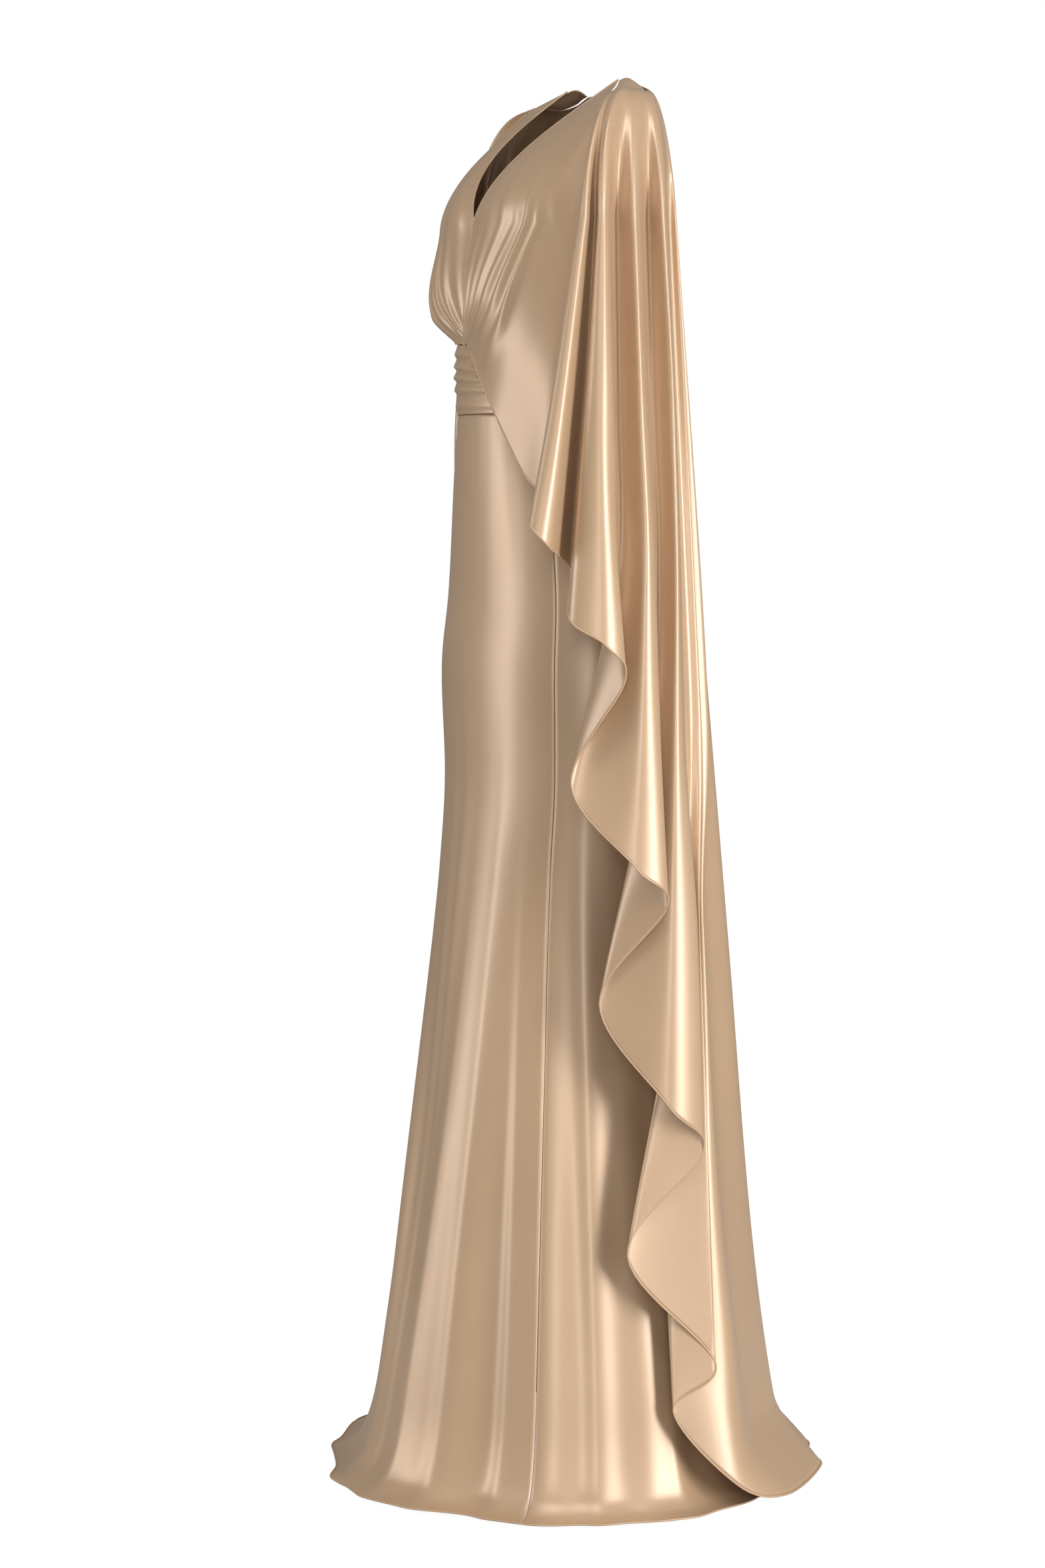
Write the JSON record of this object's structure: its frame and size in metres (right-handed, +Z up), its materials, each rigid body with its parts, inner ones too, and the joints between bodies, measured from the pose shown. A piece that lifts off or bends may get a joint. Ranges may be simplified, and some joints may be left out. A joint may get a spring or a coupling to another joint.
{
  "type": "cape sleeve maxi dress",
  "caption": "Floor-length satin gown with a draped V neck, a folded waistband, a flared skirt and long cape sleeves that cascade from the shoulders.",
  "frame": {"origin": "midway between the shoulders, at the height of the shoulder seams, where the wearer holds the dress up", "axes": "+Z up along the body, -Y towards the wearer's front, +X towards the wearer's left"},
  "size_m": [0.5875, 0.5724, 1.5623],
  "materials": {
    "satin": "champagne satin, smooth and glossy"
  },
  "bodies": {
    "root": {"skirt_front": "satin", "skirt_back_left": "satin", "skirt_back_right": "satin", "waistband_front": "satin", "waistband_back": "satin", "bodice_back": "satin", "cape_left": "satin", "cape_right": "satin", "shoulder_yoke_left": "satin", "shoulder_yoke_right": "satin"}
  },
  "joints": []
}
